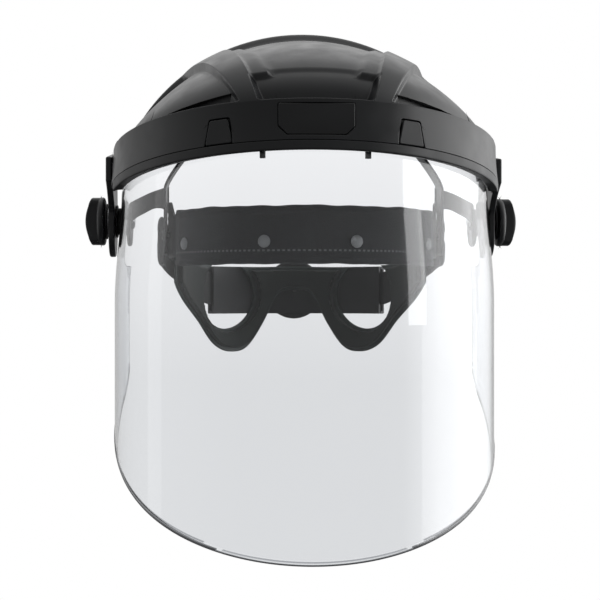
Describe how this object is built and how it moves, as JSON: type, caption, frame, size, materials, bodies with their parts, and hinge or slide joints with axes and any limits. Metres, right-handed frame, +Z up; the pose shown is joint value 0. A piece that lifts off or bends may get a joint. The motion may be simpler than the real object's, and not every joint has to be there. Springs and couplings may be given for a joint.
{
  "type": "face shield",
  "caption": "Full face shield: clear curved visor under a domed brow guard, side pivots with tension knobs, padded ratchet headgear with a nape dial.",
  "frame": {"origin": "midpoint of the line between the two side pivots, which is the centre of the headband's oval and of the wearer's head at temple height", "axes": "+X towards the wearer's left, -Y the way the face looks, +Z up towards the top of the head"},
  "size_m": [0.292, 0.2879, 0.3335],
  "materials": {
    "shell": "black moulded thermoplastic, satin gloss",
    "satin": "black moulded nylon, satin",
    "clear": "clear polycarbonate sheet, polished",
    "strap": "charcoal flexible polyethylene, fine texture",
    "fabric": "black terry-faced foam sweatband, stitched",
    "foam": "dark grey-green foam pad",
    "steel": "plated steel",
    "rubber": "black friction rubber"
  },
  "bodies": {
    "headgear": {"brow_band": "strap", "sweatband": "fabric", "left_temple_pad": "fabric", "right_temple_pad": "fabric", "sweatband_stud_1": "satin", "sweatband_stud_2": "satin", "sweatband_stud_3": "satin", "sweatband_stud_4": "satin", "left_slot_rivet": "satin", "right_slot_rivet": "satin", "left_strap_rivet": "satin", "right_strap_rivet": "satin", "left_pivot_bolt": "steel", "right_pivot_bolt": "steel", "left_pivot_spacer": "rubber", "right_pivot_spacer": "rubber", "left_backing_washer": "satin", "right_backing_washer": "satin", "left_rear_strap": "strap", "right_rear_strap": "strap"},
    "overhead_strap": {"left_overhead_strap": "strap", "right_overhead_strap": "strap", "overhead_peg_1": "satin", "overhead_peg_2": "satin"},
    "crown": {"crown_shell": "shell", "badge_plate": "satin", "left_friction_washer": "rubber", "right_friction_washer": "rubber", "left_wave_washer": "steel", "right_wave_washer": "steel"},
    "visor_set": {"visor_carrier": "satin", "visor": "clear", "left_visor_hook": "satin", "right_visor_hook": "satin"},
    "left_tab": {"left_release_tab": "satin"},
    "right_tab": {"right_release_tab": "satin"},
    "left_knob": {"left_tension_knob": "satin", "left_knob_insert": "steel"},
    "right_knob": {"right_tension_knob": "satin", "right_knob_insert": "steel"},
    "rear_unit": {"nape_cradle": "strap", "nape_pad": "foam", "left_cradle_rivet": "satin", "right_cradle_rivet": "satin", "ratchet_inner_plate": "satin", "ratchet_cover": "satin"},
    "dial": {"ratchet_dial": "satin", "ratchet_pinion": "satin", "dial_screw": "steel", "detent_spring": "steel"}
  },
  "joints": [
    {"name": "crown_tilt", "type": "hinge", "parent": "headgear", "child": "crown", "pos_m": [0, 0, 0], "axis": [-1, 0, 0], "range_deg": [0, 90]},
    {"name": "visor_release", "type": "slide", "parent": "crown", "child": "visor_set", "axis": [0, 0, -1], "range_m": [0, 0.045]},
    {"name": "left_tab_press", "type": "slide", "parent": "visor_set", "child": "left_tab", "axis": [-0.4563, 0.8898, 0], "range_m": [0, 0.0015], "stiffness_N_per_m": 600},
    {"name": "right_tab_press", "type": "slide", "parent": "visor_set", "child": "right_tab", "axis": [0.4563, 0.8898, 0], "range_m": [0, 0.0015], "stiffness_N_per_m": 600},
    {"name": "left_knob_turn", "type": "hinge", "parent": "headgear", "child": "left_knob", "pos_m": [0.138, 0, 0], "axis": [-1, 0, 0], "range_deg": [-90, 270]},
    {"name": "right_knob_turn", "type": "hinge", "parent": "headgear", "child": "right_knob", "pos_m": [-0.138, 0, 0], "axis": [1, 0, 0], "range_deg": [-90, 270]},
    {"name": "strap_height", "type": "slide", "parent": "headgear", "child": "overhead_strap", "axis": [0, 0, 1], "range_m": [-0.0075, 0.0075]},
    {"name": "size_adjust", "type": "slide", "parent": "headgear", "child": "rear_unit", "axis": [0, -1, 0], "range_m": [0, 0.02], "deforming": ["left_rear_strap", "right_rear_strap"]},
    {"name": "dial_turn", "type": "hinge", "parent": "rear_unit", "child": "dial", "pos_m": [0, 0.12, -0.045], "axis": [0, -1, 0], "range_deg": [0, 190.99]}
  ],
  "couplings": [
    {"joint": "dial_turn", "follows": "size_adjust", "rad_per_m": 166.67}
  ]
}
